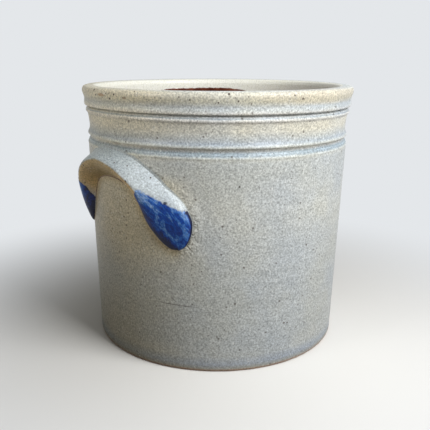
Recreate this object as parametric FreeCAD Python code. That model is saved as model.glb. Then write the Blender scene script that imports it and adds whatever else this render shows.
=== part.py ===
# Stoneware crock with two strap lugs, in millimetres.
# The origin is the centre of the flat base and +Z is up.
# The lugs sit on -X (left) and +X (right), and the front is the side at -Y.
import FreeCAD, Part
import math
import os

# Body
crock_height = 179.5
rim_radius = 95.0            # widest point of the rolled lip
lip_overhang = 3.2           # how far the lip stands out past the top of the straight wall
foot_radius = 88.0
wall_thickness = 7.5         # at the shoulder
foot_wall_thickness = 9.0    # the wall thickens towards the floor
floor_thickness = 9.0
foot_edge_radius = 1.5
inner_corner_radius = 14.0

# Lip, measured down from its top and in from its widest point
lip_height = 15.5
lip_bulge_drop = 4.0         # the widest point
lip_shoulder_drop = 0.6      # where the outer roll meets the top
lip_shoulder_recess = 3.0
lip_crest_recess = 6.6       # the highest point
lip_mouth_recess = 11.0      # the mouth, narrower than the wall below it
lip_mouth_radius = 2.2       # rounding of the mouth edge
lip_waist_drop = 10.5
lip_waist_recess = 1.3
lip_foot_recess = 2.2        # lower edge of the lip, at the neck groove
lip_under_swell = 0.1        # how far the roll swells out between the waist and the bulge
lip_roll_recess = 0.75       # the outer roll, a little above the bulge
lip_roll_drop = 1.8

# Mouldings under the lip, from the top down, each with its own height
neck_groove_height = 1.3
neck_groove_depth = 3.2      # from the bead's top edge to the bottom of the cut
bead_height = 5.2
bead_rise = 1.6
band_height = 9.8
band_hollow = 0.5
band_recess = 0.8            # in from the shoulder
ridge_height = 3.8
ridge_rise = 0.9
lower_groove_height = 2.6
lower_groove_depth = 1.2
lower_ridge_height = 6.6
lower_ridge_rise = 0.6

# Brown slip lining
lining_thickness = 0.4
lining_drop = 10.0           # from the top of the lip to the edge of the slip

# Lugs: a pulled strap bent to an arch along the wall
lug_half_span = 56.6         # along the wall, from the middle of the arch to its end
lug_drop = 54.8              # from the strap's middle line at the top to its end
lug_level_reach = 34.0       # how far the arch keeps level before it turns down
lug_upright_reach = 18.0     # how far above its end the limb starts to run upright
lug_seam_overlap = 0.2       # the strap's top seam laps over the lower groove's edge
strap_half_width = 8.8       # at the top of the arch
lug_end_inner_width = 17.0   # from the middle line to the inner seam, before the leaf-shaped end
lug_end_outer_width = 11.3
widening_end = 0.8           # share of the limb where the strap reaches that width
inner_leaf_start = 0.58      # shares of the limb where the leaf shape starts
outer_leaf_start = 0.66
leaf_loss = 0.93             # share of the width that is gone at the very end
inner_leaf_power = 1.9       # higher keeps the leaf full for longer
outer_leaf_power = 1.3
strap_rise = 11.3            # how far the hood stands off the wall at the top
lug_end_rise = 1.8
rise_start = 0.12            # shares of the limb between which the hood flattens
rise_end = 0.98
tip_start = 0.87             # share of the limb where the end starts to sink into the wall
tip_depth = 0.8
tip_roundness = 1.0          # how much more the seams sink there than the middle
crest_place_top = 0.3        # place of the crest across the strap, -1 to 1
crest_place_end = -0.45
crest_settled = 0.5          # share of the limb where the crest reaches that place
pad_start = 0.35             # shares of the limb between which the hood turns into a flat pad
pad_end = 0.75
inner_roundness_top = 2.0    # power of the strap's fall to its seams, higher is blunter
inner_roundness_end = 3.6
outer_roundness_top = 1.5
outer_roundness_end = 2.6
strap_edge = 1.0             # thickness left at the strap's two edges
buried_depth = 4.0           # the strap's back runs into the wall before it is trimmed
luting_thickness = 0.6
luting_edge = 0.2
luting_tip_depth = 0.2
luting_margin = 1.4          # clay slip wiped out past the strap's edge

# Cobalt brushed on the lug ends
cobalt_thickness = 0.3
front_cobalt_rise = 7.3      # the brushed edge over the strap's top middle line, at the arch's middle
front_cobalt_slope = 0.64    # fall of the brushed edge for each unit away from the middle
back_cobalt_drop = 19.7      # the brushed edge of the other end, below that middle line
back_cobalt_slope = 0.1
cobalt_inner_reach = 24.0    # the patches lie this far out from the arch's middle, and no further
cobalt_outer_reach = 75.0    # than this, which is past the end of the lug

# What follows from the sizes above
shoulder_radius = rim_radius - lip_overhang   # top of the straight wall, under the mouldings
lip_foot = crock_height - lip_height
bead_top = lip_foot - neck_groove_height
band_top = bead_top - bead_height
ridge_top = band_top - band_height
lower_groove_top = ridge_top - ridge_height
lower_ridge_top = lower_groove_top - lower_groove_height
shoulder_height = lower_ridge_top - lower_ridge_height
band_radius = shoulder_radius - band_recess
lug_top = lower_ridge_top + lug_seam_overlap - strap_half_width


def point(radius, height):
    """A point of the turned outline."""
    return FreeCAD.Vector(radius, 0, height)


def line(start, end):
    return Part.LineSegment(start, end).toShape()


def arc(start, middle, end):
    return Part.Arc(start, middle, end).toShape()


def corner(before, tip, after, radius):
    """Start, middle and end of the arc that rounds the corner at tip."""
    to_before = (before - tip).normalize()
    to_after = (after - tip).normalize()
    half_angle = to_before.getAngle(to_after) / 2
    reach = radius / math.tan(half_angle)
    bisector = (to_before + to_after).normalize()
    middle = tip + bisector * (radius / math.sin(half_angle) - radius)
    return tip + to_before * reach, middle, tip + to_after * reach


def turned(edges):
    """The solid turned from a closed outline."""
    face = Part.Face(Part.Wire(edges))
    return face.revolve(FreeCAD.Vector(0, 0, 0), FreeCAD.Vector(0, 0, 1), 360)


def moulding_edges():
    """Outside of the crock from the top of the straight wall up to the lip's foot."""
    lower_ridge_edge = shoulder_radius - lower_ridge_rise
    return [
        arc(point(shoulder_radius, shoulder_height),
            point(shoulder_radius + lower_ridge_rise / 2, (lower_ridge_top + shoulder_height) / 2),
            point(lower_ridge_edge, lower_ridge_top)),
        arc(point(lower_ridge_edge, lower_ridge_top),
            point(band_radius - lower_groove_depth, lower_groove_top - lower_groove_height / 2),
            point(band_radius, lower_groove_top)),
        arc(point(band_radius, lower_groove_top),
            point(band_radius + ridge_rise, ridge_top - ridge_height / 2),
            point(band_radius, ridge_top)),
        arc(point(band_radius, ridge_top),
            point(band_radius - band_hollow, band_top - band_height / 2),
            point(band_radius, band_top)),
        arc(point(band_radius, band_top),
            point(band_radius + bead_rise, bead_top - bead_height / 2),
            point(band_radius + bead_rise / 2, bead_top)),
        line(point(band_radius + bead_rise / 2, bead_top),
             point(band_radius + bead_rise / 2 - neck_groove_depth, bead_top + neck_groove_height / 2)),
        line(point(band_radius + bead_rise / 2 - neck_groove_depth, bead_top + neck_groove_height / 2),
             point(rim_radius - lip_foot_recess, lip_foot)),
    ]


def lip_edges(mouth_arc):
    """The rolled lip from its foot, over the top, to the rounded mouth edge."""
    foot = point(rim_radius - lip_foot_recess, lip_foot)
    waist = point(rim_radius - lip_waist_recess, crock_height - lip_waist_drop)
    bulge = point(rim_radius, crock_height - lip_bulge_drop)
    shoulder = point(rim_radius - lip_shoulder_recess, crock_height - lip_shoulder_drop)
    crest = point(rim_radius - lip_crest_recess, crock_height)
    under_waist = point(waist.x, (foot.z + waist.z) / 2)
    under_bulge = point((waist.x + bulge.x) / 2 + lip_under_swell, (waist.z + bulge.z) / 2)
    over_bulge = point(rim_radius - lip_roll_recess, crock_height - lip_roll_drop)
    return [
        arc(foot, under_waist, waist),
        arc(waist, under_bulge, bulge),
        arc(bulge, over_bulge, shoulder),
        arc(shoulder, crest, mouth_arc[0]),
        arc(*mouth_arc),
    ]


def inner_radius(height):
    """Inside of the crock, a straight taper from the floor to the shoulder and on to the lip."""
    top = shoulder_radius - wall_thickness
    bottom = foot_radius - foot_wall_thickness
    return bottom + (top - bottom) * (height - floor_thickness) / (shoulder_height - floor_thickness)


def wall_radius(height):
    """Outside of the straight wall, carried on above the shoulder."""
    return foot_radius + (shoulder_radius - foot_radius) * height / shoulder_height


def floor_corner(offset):
    """The rounded inner corner between floor and wall, offset into the cavity."""
    above = point(inner_radius(shoulder_height) - offset, shoulder_height)
    tip = point(inner_radius(floor_thickness) - offset, floor_thickness + offset)
    centre = point(0, floor_thickness + offset)
    return corner(above, tip, centre, inner_corner_radius - offset)


def mouth_edge(offset):
    """Where the inside of the lip would meet its top without the rounding, offset into the cavity."""
    return point(rim_radius - lip_mouth_recess - offset, crock_height - 2 * lip_shoulder_drop)


def crock_body():
    neck = point(inner_radius(lip_foot), lip_foot)
    mouth_arc = corner(point(rim_radius - lip_crest_recess, crock_height - lip_shoulder_drop),
                       mouth_edge(0), neck, lip_mouth_radius)
    wall_end, round_middle, floor_end = floor_corner(0)
    foot_arc = corner(point(0, 0), point(foot_radius, 0),
                      point(shoulder_radius, shoulder_height), foot_edge_radius)
    edges = [line(point(0, 0), foot_arc[0])]
    edges.append(arc(*foot_arc))
    edges.append(line(foot_arc[2], point(shoulder_radius, shoulder_height)))
    edges += moulding_edges()
    edges += lip_edges(mouth_arc)
    edges.append(line(mouth_arc[2], neck))
    edges.append(line(neck, wall_end))
    edges.append(arc(wall_end, round_middle, floor_end))
    edges.append(line(floor_end, point(0, floor_thickness)))
    edges.append(line(point(0, floor_thickness), point(0, 0)))
    return turned(edges)


def cavity(offset):
    """The space inside the crock up to its mouth, set in by a coat of that thickness."""
    wall_end, round_middle, floor_end = floor_corner(offset)
    centre = point(0, floor_thickness + offset)
    neck = point(inner_radius(lip_foot) - offset, lip_foot)
    mouth = mouth_edge(offset)
    return turned([
        line(centre, floor_end),
        arc(floor_end, round_middle, wall_end),
        line(wall_end, neck),
        line(neck, mouth),
        line(mouth, point(0, mouth.z)),
        line(point(0, mouth.z), centre),
    ])


def slip_lining():
    """The coat of brown slip on the floor and the inside wall, up to its line under the lip."""
    up_to_line = Part.makeCylinder(rim_radius, crock_height - lining_drop)
    return cavity(0).common(up_to_line).cut(cavity(lining_thickness))


def filled_outside():
    """The crock's outside without its cavity, for trimming what is pressed on the wall."""
    edges = [line(point(0, 0), point(foot_radius, 0))]
    edges.append(line(point(foot_radius, 0), point(shoulder_radius, shoulder_height)))
    edges += moulding_edges()
    edges.append(line(point(rim_radius - lip_foot_recess, lip_foot), point(0, lip_foot)))
    edges.append(line(point(0, lip_foot), point(0, 0)))
    return turned(edges)


def ease(share):
    """0 to 1 with a soft start and a soft end."""
    share = min(max(share, 0.0), 1.0)
    return share * share * (3 - 2 * share)


def limb_point(share):
    """Middle line of the strap on the unrolled wall: along the wall, up, and its direction."""
    lug_bottom = lug_top - lug_drop
    stations = [(0, lug_top), (lug_level_reach, lug_top),
                (lug_half_span, lug_bottom + lug_upright_reach), (lug_half_span, lug_bottom)]
    rest = 1 - share
    weights = [rest ** 3, 3 * rest * rest * share, 3 * rest * share * share, share ** 3]
    slopes = [-3 * rest * rest, 3 * rest * (rest - 2 * share), 3 * share * (2 * rest - share), 3 * share * share]
    along = sum(w * s[0] for w, s in zip(weights, stations))
    up = sum(w * s[1] for w, s in zip(weights, stations))
    run = sum(w * s[0] for w, s in zip(slopes, stations))
    climb = sum(w * s[1] for w, s in zip(slopes, stations))
    length = math.hypot(run, climb)
    return along, up, run / length, climb / length


def limb_width(share, end_width, leaf_start, leaf_power):
    """From the middle line to a seam. It grows down the limb and tapers to a leaf-shaped end."""
    width = strap_half_width + (end_width - strap_half_width) * ease(share / widening_end)
    taper = max((share - leaf_start) / (1 - leaf_start), 0.0)
    return width * (1 - leaf_loss * taper ** leaf_power)


def limb_rise(share):
    """Height of the strap's crest over the wall."""
    flattened = ease((share - rise_start) / (rise_end - rise_start))
    return strap_rise + (lug_end_rise - strap_rise) * flattened


def strap_section(position, azimuth, layer):
    """Closed outline across the strap. position runs from -1 to 1 along the arch.

    The layer is the strap itself, the clay under its cobalt, or the flat luting coat."""
    share = abs(position)
    side = 1 if position >= 0 else -1
    along, up, run, climb = limb_point(share)
    margin = layer["margin"]
    inner_width = margin + limb_width(share, lug_end_inner_width, inner_leaf_start, inner_leaf_power)
    outer_width = margin + limb_width(share, lug_end_outer_width, outer_leaf_start, outer_leaf_power)
    if layer["flat"]:
        crest = 0.0
        flatness = 1.0
        rise = layer["thickness"]
    else:
        crest = crest_place_top + (crest_place_end - crest_place_top) * ease(share / crest_settled)
        flatness = ease((share - pad_start) / (pad_end - pad_start))
        rise = limb_rise(share) - layer["inset"]
    edge = layer["edge"] - layer["inset"]
    sunk = (layer["thickness"] + layer["tip_depth"]) * ease((share - tip_start) / (1 - tip_start))
    inner_roundness = inner_roundness_top + (inner_roundness_end - inner_roundness_top) * flatness
    outer_roundness = outer_roundness_top + (outer_roundness_end - outer_roundness_top) * flatness
    angle = math.radians(azimuth) + side * along / shoulder_radius
    outward = FreeCAD.Vector(math.cos(angle), math.sin(angle), 0)
    sideways = FreeCAD.Vector(-math.sin(angle), math.cos(angle), 0)
    across = sideways * (-climb * side) + FreeCAD.Vector(0, 0, run)
    centre = outward * wall_radius(up) + FreeCAD.Vector(0, 0, up)

    def on_wall(u, height):
        """u runs from -1 at the inner seam to 1 at the outer seam."""
        offset = u * (outer_width if u > 0 else inner_width)
        local_radius = wall_radius(up + offset * run)
        drop = math.sqrt(local_radius ** 2 - (offset * climb) ** 2) - wall_radius(up)
        return centre + across * offset + outward * (drop + height)

    def top(u):
        if u > crest:
            fall = ((u - crest) / (1 - crest)) ** outer_roundness
        else:
            fall = ((crest - u) / (1 + crest)) ** inner_roundness
        return rise + (edge - rise) * fall - sunk * (1 + tip_roundness * u * u)

    stations = [-1, -0.93, -0.8, -0.6, -0.35, -0.1, 0.15, 0.4, 0.65, 0.82, 0.94, 1]
    upper = Part.BSplineCurve()
    upper.interpolate([on_wall(u, top(u)) for u in stations])
    inner_foot = on_wall(-1, -buried_depth)
    outer_foot = on_wall(1, -buried_depth)
    return Part.Wire([
        upper.toShape(),
        line(on_wall(1, top(1)), outer_foot),
        line(outer_foot, inner_foot),
        line(inner_foot, on_wall(-1, top(-1))),
    ])


def strap(azimuth, layer):
    """One layer of the arched strap, lofted end to end, before it is trimmed to the wall."""
    shares = [1.0, 0.96, 0.91, 0.84, 0.74, 0.62, 0.5, 0.38, 0.25, 0.12]
    positions = [-s for s in shares] + [0.0] + shares[::-1]
    return Part.makeLoft([strap_section(p, azimuth, layer) for p in positions], True, False)


def cobalt_region(azimuth, side, height, slope):
    """The space below the slanted brushed edge over one end of a lug."""
    angle = math.radians(azimuth)
    outward = FreeCAD.Vector(math.cos(angle), math.sin(angle), 0)
    sideways = FreeCAD.Vector(-math.sin(angle), math.cos(angle), 0) * side
    start = outward * (shoulder_radius / 2)

    def corner_point(reach, up):
        return start + sideways * reach + FreeCAD.Vector(0, 0, up)

    corners = [
        corner_point(cobalt_inner_reach, height - slope * cobalt_inner_reach),
        corner_point(cobalt_outer_reach, height - slope * cobalt_outer_reach),
        corner_point(cobalt_outer_reach, lug_top - lug_drop - strap_half_width),
        corner_point(cobalt_inner_reach, lug_top - lug_drop - strap_half_width),
    ]
    face = Part.Face(Part.makePolygon(corners + corners[:1]))
    return face.extrude(outward * rim_radius)


strap_layer = {"flat": False, "margin": 0.0, "inset": 0.0, "edge": strap_edge,
               "thickness": lug_end_rise, "tip_depth": tip_depth}
clay_layer = dict(strap_layer, margin=-cobalt_thickness, inset=cobalt_thickness)
luting_layer = {"flat": True, "margin": luting_margin, "inset": 0.0, "edge": luting_edge,
                "thickness": luting_thickness, "tip_depth": luting_tip_depth}


def lug(azimuth, front_side):
    """The bare strap, its luting coat and the two cobalt patches of one lug."""
    outside = filled_outside()
    luting = strap(azimuth, luting_layer).cut(outside)
    handle = strap(azimuth, strap_layer).cut(outside).cut(luting)
    clay = strap(azimuth, clay_layer)
    front = cobalt_region(azimuth, front_side, lug_top + front_cobalt_rise, front_cobalt_slope)
    back = cobalt_region(azimuth, -front_side, lug_top - back_cobalt_drop, back_cobalt_slope)
    cobalt = Part.makeCompound([handle.common(region).cut(clay) for region in (front, back)])
    return handle.cut(cobalt), luting, cobalt


nodes = {"crock_body": crock_body(), "interior_slip_lining": slip_lining()}
for name, azimuth, front_side in [("left", 180.0, 1), ("right", 0.0, -1)]:
    handle, luting, cobalt = lug(azimuth, front_side)
    nodes[name + "_handle"] = handle
    nodes[name + "_handle_lute"] = luting
    nodes[name + "_handle_cobalt"] = cobalt

os.makedirs("parts", exist_ok=True)
for name, shape in nodes.items():
    shape.exportStep("parts/" + name + ".step")
    print(name, "valid" if shape.isValid() else "not valid", len(shape.Solids), round(shape.Volume, 1))
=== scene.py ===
import math

import bpy
from mathutils import Matrix, Vector, kdtree, noise


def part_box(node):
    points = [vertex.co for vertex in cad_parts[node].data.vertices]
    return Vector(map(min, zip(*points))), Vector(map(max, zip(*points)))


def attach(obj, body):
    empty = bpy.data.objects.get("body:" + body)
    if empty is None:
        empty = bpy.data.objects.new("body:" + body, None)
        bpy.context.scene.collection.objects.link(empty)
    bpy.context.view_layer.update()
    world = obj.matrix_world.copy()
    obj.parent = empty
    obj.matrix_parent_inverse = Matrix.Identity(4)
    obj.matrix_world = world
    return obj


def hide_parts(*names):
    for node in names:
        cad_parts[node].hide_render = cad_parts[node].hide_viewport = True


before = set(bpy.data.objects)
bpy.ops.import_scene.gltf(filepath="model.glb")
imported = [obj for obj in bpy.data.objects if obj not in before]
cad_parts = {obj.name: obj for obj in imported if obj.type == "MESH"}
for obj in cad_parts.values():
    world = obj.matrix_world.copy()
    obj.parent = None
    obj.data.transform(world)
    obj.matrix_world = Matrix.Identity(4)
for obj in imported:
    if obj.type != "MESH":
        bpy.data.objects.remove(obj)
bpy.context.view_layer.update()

# Salt-glazed stoneware crock with two pulled lugs, brown slip inside and cobalt brushed on the lug ends.
# Lengths are in millimetres until a mesh is made, and Blender's metres come from MM.
MM = 0.001

top_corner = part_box("crock_body")[1]
HEIGHT = top_corner.z / MM
RIM = top_corner.x / MM
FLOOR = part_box("interior_slip_lining")[0].z / MM       # the inside's floor

# The pot, as radii and heights
SHOULDER = RIM - 3.2         # top of the straight wall
SHOULDER_HEIGHT = 134.7
FOOT = 88.0
WALL = 7.5                   # thickness at the shoulder
FOOT_WALL = 9.0              # and at the floor
NECK_HEIGHT = 164.0          # the inside turns in from here to the mouth
MOUTH = RIM - 11.0
MOUTH_DROP = 1.2             # the mouth's edge below the lip's top
INNER_CORNER = 14.0          # rounding between floor and wall
SLIP_COAT = 0.4
SLIP_DROP = 10.5             # the brown slip's edge below the lip's top


# Small helpers for shapes

def ease(share):
    """0 to 1 with a soft start and a soft end."""
    share = min(max(share, 0.0), 1.0)
    return share * share * (3 - 2 * share)


def mix(a, b, share):
    return a + (b - a) * share


def wander(x, y, z):
    """A smooth uneven value from -1 to 1, the same at each run."""
    return noise.noise(Vector((x, y, z)))


def smooth_line(points, step):
    """Points of a smooth curve through the given ones, about step apart."""
    line = []
    for i in range(len(points) - 1):
        before = Vector(points[max(i - 1, 0)])
        start = Vector(points[i])
        end = Vector(points[i + 1])
        after = Vector(points[min(i + 2, len(points) - 1)])
        pieces = max(1, round((end - start).length / step))
        for k in range(pieces):
            t = k / pieces
            line.append(0.5 * (2 * start + (end - before) * t
                               + (2 * before - 5 * start + 4 * end - after) * t * t
                               + (3 * start - before - 3 * end + after) * t * t * t))
    line.append(Vector(points[-1]))
    return line


def make_piece(name, points, faces, node, material, values=None):
    """A smooth mesh that stands for a node of the frame. values are numbers kept at its points."""
    mesh = bpy.data.meshes.new(name)
    mesh.from_pydata([Vector(p) * MM for p in points], [], faces)
    for key, numbers in (values or {}).items():
        layer = mesh.attributes.new(key, "FLOAT", "POINT")
        layer.data.foreach_set("value", numbers)
    mesh.validate()
    mesh.shade_smooth()
    mesh.set_sharp_from_angle(angle=math.radians(50))
    mesh.materials.append(material)
    piece = bpy.data.objects.new(name, mesh)
    bpy.context.scene.collection.objects.link(piece)
    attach(piece, "root")
    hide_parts(node)


def grid_faces(rows, columns, closed_rows=False, closed_columns=False, start=0):
    """Four-sided faces over a grid of points stored row by row."""
    faces = []
    for i in range(rows if closed_rows else rows - 1):
        for j in range(columns if closed_columns else columns - 1):
            a = start + i * columns + j
            b = start + i * columns + (j + 1) % columns
            c = start + (i + 1) % rows * columns + (j + 1) % columns
            d = start + (i + 1) % rows * columns + j
            faces.append((a, b, c, d))
    return faces


def tube_faces(rows, columns, start=0):
    """Faces of a closed tube over a grid of points, with one more face at each end."""
    faces = grid_faces(rows, columns, closed_columns=True, start=start)
    last = start + (rows - 1) * columns
    faces.append(tuple(start + k for k in range(columns))[::-1])
    faces.append(tuple(last + k for k in range(columns)))
    return faces


# Small helpers for finishes

# Settings that many nodes share
SMOOTH = {"interpolation_type": "SMOOTHSTEP"}
BLEND = {"data_type": "RGBA"}
TINT = {"data_type": "RGBA", "blend_type": "MULTIPLY"}
MULTIPLY = {"operation": "MULTIPLY"}
DOT = {"operation": "DOT_PRODUCT"}


def srgb(code):
    """A colour written as hex, as the linear values that a shader takes."""
    values = [int(code[i:i + 2], 16) / 255 for i in (1, 3, 5)]
    return [v / 12.92 if v <= 0.04045 else ((v + 0.055) / 1.055) ** 2.4 for v in values] + [1.0]


def add(tree, kind, settings=None, inputs=None):
    """One node with its settings, and its inputs as values or as links from other sockets."""
    node = tree.nodes.new("ShaderNode" + kind)
    for key, value in (settings or {}).items():
        setattr(node, key, value)
    for key, value in (inputs or {}).items():
        if isinstance(value, bpy.types.NodeSocket):
            tree.links.new(value, node.inputs[key])
        else:
            node.inputs[key].default_value = value
    return node


def new_material(name):
    material = bpy.data.materials.new(name)
    material.use_nodes = True
    tree = material.node_tree
    tree.nodes.clear()
    return material, tree


def set_ramp(node, stops):
    """Fills a colour ramp with (place, hex colour) stops."""
    ramp = node.color_ramp
    while len(ramp.elements) < len(stops):
        ramp.elements.new(0.5)
    for element, (place, code) in zip(ramp.elements, stops):
        element.position = place
        element.color = srgb(code)
    return node


def speckle(tree, place, spacing, size, share):
    """Round spots: one at most in each cell of that spacing, on that share of the cells."""
    cells = add(tree, "TexVoronoi", {"feature": "F1"}, {"Vector": place, "Scale": 1 / (spacing * MM)})
    chance = add(tree, "SeparateColor", {}, {"Color": cells.outputs["Color"]})
    reach = add(tree, "MapRange", {}, {"Value": chance.outputs["Red"], "From Min": 1 - share,
                                       "To Max": size / spacing}).outputs[0]
    core = add(tree, "Math", MULTIPLY, {0: reach, 1: 0.35})
    gap = cells.outputs["Distance"]
    spot = add(tree, "MapRange", SMOOTH, {"Value": gap, "From Min": reach, "From Max": core.outputs[0]})
    inside = add(tree, "Math", {"operation": "LESS_THAN"}, {0: gap, 1: reach})
    return add(tree, "Math", MULTIPLY, {0: spot.outputs[0], 1: inside.outputs[0]}).outputs[0]


WHITEST = (0.88, 0.88, 0.88)         # no glaze over this clay sends back more of the light


def salt_glaze(tree, colour, place, strength, spots, beading=0.4):
    """Salt glaze over grey clay: the salt vapour draws the glaze into an orange-peel skin of small beads,
    paler where it is thick and darker in the pits, with iron spots burnt through from the clay. The skin's
    beads are drawn about twice as wide as real ones, which are half a millimetre. Gives the colour, the
    roughness and the normal."""
    grain = add(tree, "TexNoise", {}, {"Vector": place, "Scale": 1 / (1.1 * MM), "Detail": 2.0,
                                       "Roughness": 0.6})
    clouds = add(tree, "TexNoise", {}, {"Vector": place, "Scale": 1 / (36 * MM), "Detail": 3.0})
    tone = set_ramp(add(tree, "ValToRGB", {}, {"Fac": clouds.outputs["Fac"]}),
                    [(0.34, "#f0f2f5"), (0.5, "#f8f8f7"), (0.64, "#f9f7f1")])
    clouded = add(tree, "Mix", TINT, {"Factor": 1.0, "A": colour, "B": tone.outputs["Color"]})
    pits = add(tree, "MapRange", {}, {"Value": grain.outputs["Fac"], "From Min": 0.3, "From Max": 0.7,
                                      "To Min": 1 - 0.42 * strength, "To Max": 1 + 0.30 * strength})
    skin = add(tree, "VectorMath", {"operation": "SCALE"}, {"Vector": clouded.outputs["Result"],
                                                           "Scale": pits.outputs[0]})
    skin = add(tree, "VectorMath", {"operation": "MINIMUM"}, {0: skin.outputs["Vector"], 1: WHITEST})
    beads = add(tree, "Math", MULTIPLY,
                {0: speckle(tree, place, 2.2, 0.85, 0.6), 1: beading * strength ** 4})
    beaded = add(tree, "Mix", BLEND,
                 {"Factor": beads.outputs[0], "A": skin.outputs["Vector"], "B": srgb("#eff1ee")})
    small = add(tree, "Math", MULTIPLY, {0: speckle(tree, place, 2.0, 0.8, 0.5), 1: 0.45})
    large = speckle(tree, place, 3.9, 1.15, 0.5)
    iron = add(tree, "Math", {"operation": "MAXIMUM"}, {0: small.outputs[0], 1: large})
    burn = add(tree, "Math", {"operation": "MULTIPLY", "use_clamp": True}, {0: iron.outputs[0], 1: spots})
    spotted = add(tree, "Mix", BLEND,
                  {"Factor": burn.outputs[0], "A": beaded.outputs["Result"], "B": srgb("#443730")})
    peel = add(tree, "TexNoise", {}, {"Vector": place, "Scale": 1 / (1.9 * MM), "Detail": 1.5})
    bump = add(tree, "Bump", {}, {"Height": peel.outputs["Fac"], "Strength": 0.6 * strength,
                                  "Distance": 0.35 * MM})
    gloss = add(tree, "MapRange", {}, {"Value": grain.outputs["Fac"], "From Min": 0.3, "From Max": 0.7,
                                       "To Min": 0.56, "To Max": 0.40})
    return spotted.outputs["Result"], gloss.outputs[0], bump.outputs["Normal"]


def glazed(tree, colour, roughness, normal, coat, shine=0.3):
    """Ends the material: fired clay that scatters light under a thin clear coat of glass. The pits of a salt
    glaze swallow part of its shine."""
    shader = add(tree, "BsdfPrincipled", {}, {"Base Color": colour, "Roughness": roughness, "Normal": normal,
                                              "IOR": 1.5, "Specular IOR Level": shine, "Coat Weight": coat,
                                              "Coat Roughness": 0.22})
    add(tree, "OutputMaterial", {}, {"Surface": shader.outputs[0]})


# Tones that the fired glaze takes on the pot, with painted highlights and painted shade among them
BARE_CLAY = "#b4663a"
ASH = "#8f908a"
FOOT_BLUE = "#98a4b6"
EDGE_WHITE_AND_HIGHLIGHT = "#e7e7e3"            # where the glaze gathers thick on an edge, and painted highlights on the mouldings' edges
BUTTER = "#e3e2d3"
CREAM = "#dbdad0"
TAN = "#d3d1c5"
PALE = "#d0d6d6"
PALE_GREY = "#c6cac9"
GREY = "#bbc1c4"
SHADED_GREY = "#aeb4b8"
BLUE_GREY = "#9ca7b3"
# a painted highlight: the bright line in the lower groove
ICE_BLUE_HIGHLIGHT = "#afbfcc"
DEEP_BLUE_AND_SHADE = "#80909d"        # where it runs thin over a hollow, and painted shade in the mouldings' hollows

# The tone at each height, from the foot to the top of the lip. Besides the glaze's own colour it holds painted
# highlights along the mouldings' edges and painted shade in their hollows, and it grows darker towards the
# foot
HEIGHT_TINTS = [
    (0.9, BARE_CLAY), (1.8, ASH), (5.0, FOOT_BLUE), (11.0, GREY),
    (60.0, GREY), (106.0, PALE_GREY), (137.0, GREY), (139.2, PALE_GREY),
    (140.5, PALE), (141.3, DEEP_BLUE_AND_SHADE), (142.3, ICE_BLUE_HIGHLIGHT), (143.0, DEEP_BLUE_AND_SHADE), (144.2, SHADED_GREY),
    (145.4, EDGE_WHITE_AND_HIGHLIGHT), (146.6, PALE), (148.4, BLUE_GREY), (151.0, GREY),
    (156.0, CREAM), (160.0, CREAM), (161.3, EDGE_WHITE_AND_HIGHLIGHT), (162.6, EDGE_WHITE_AND_HIGHLIGHT), (163.6, DEEP_BLUE_AND_SHADE),
    (164.4, EDGE_WHITE_AND_HIGHLIGHT), (165.1, GREY), (165.8, EDGE_WHITE_AND_HIGHLIGHT), (166.6, EDGE_WHITE_AND_HIGHLIGHT),
    (168.0, PALE), (170.0, GREY), (173.5, BUTTER), (176.0, TAN), (178.0, TAN), (179.5, PALE),
]

# Marks on the wall: angle round the pot, height, half width, half height, lean, colour, strength
MARKS = [
    (-86.0, 175.5, 62.0, 6.0, 0.0, "#cdb78c", 0.3),        # the lip flashed tan, and greyer below it
    (-84.0, 166.0, 56.0, 6.0, 0.0, "#9aa5ad", 0.3),
    (-148.5, 45.8, 17.0, 0.5, -0.03, "#4c463f", 0.55),     # a line scored while the pot turned
    (178.0, 174.6, 5.0, 1.3, 0.0, "#a5743c", 0.6),         # iron stains on the lip
    (-168.5, 173.8, 2.2, 0.9, 0.0, "#7d5a34", 0.6),
    (-100.6, 174.5, 0.9, 0.8, 0.0, "#4a3c34", 0.9),        # larger iron spots
    (-102.3, 30.0, 0.9, 0.8, 0.0, "#4a3c34", 0.9), (-100.6, 29.6, 0.8, 0.8, 0.0, "#4a3c34", 0.9),
    (-124.1, 123.6, 0.9, 0.8, 0.0, "#3f3730", 0.9),
]

# Drops that fell from the brush at the edge of the left lug's cobalt, given in the same way
DROPS = [(angle, height, 1.4, 1.2, 0.0, "#0a1238", 0.9)
         for angle, height in ((-151.1, 113.5), (-143.6, 107.5), (-141.6, 101.5))]


def mark(tree, place, angle, height, wide, high, lean):
    """1 inside a soft-edged oval on the outside wall, and 0 elsewhere."""
    out = Vector((math.cos(math.radians(angle)), math.sin(math.radians(angle)), 0.0))
    sideways = Vector((-out.y, out.x, 0.0)) / (wide * MM)
    along = add(tree, "VectorMath", DOT, {0: place, 1: sideways}).outputs["Value"]
    up = add(tree, "VectorMath", DOT, {0: place, 1: (0.0, 0.0, 1 / (high * MM))})
    up = add(tree, "Math", {"operation": "SUBTRACT"}, {0: up.outputs["Value"], 1: height / high})
    up = add(tree, "Math", {"operation": "MULTIPLY_ADD"}, {0: along, 1: -lean * wide / high, 2: up.outputs[0]})
    oval = add(tree, "CombineXYZ", {}, {"X": along, "Y": up.outputs[0]})
    far = add(tree, "VectorMath", {"operation": "LENGTH"}, {0: oval.outputs[0]})
    soft = add(tree, "MapRange", SMOOTH, {"Value": far.outputs["Value"], "From Min": 1.0, "From Max": 0.5})
    near = add(tree, "VectorMath", DOT, {0: place, 1: out})
    here = add(tree, "Math", {"operation": "GREATER_THAN"}, {0: near.outputs["Value"], 1: 0.0})
    return add(tree, "Math", MULTIPLY, {0: soft.outputs[0], 1: here.outputs[0]}).outputs[0]


def marked(tree, place, colour, marks):
    """The colour with marks laid over it."""
    for angle, height, wide, high, lean, tone, amount in marks:
        spot = mark(tree, place, angle, height, wide, high, lean)
        amount = add(tree, "Math", MULTIPLY, {0: spot, 1: amount})
        colour = add(tree, "Mix", BLEND,
                     {"Factor": amount.outputs[0], "A": colour, "B": srgb(tone)}).outputs["Result"]
    return colour


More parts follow.
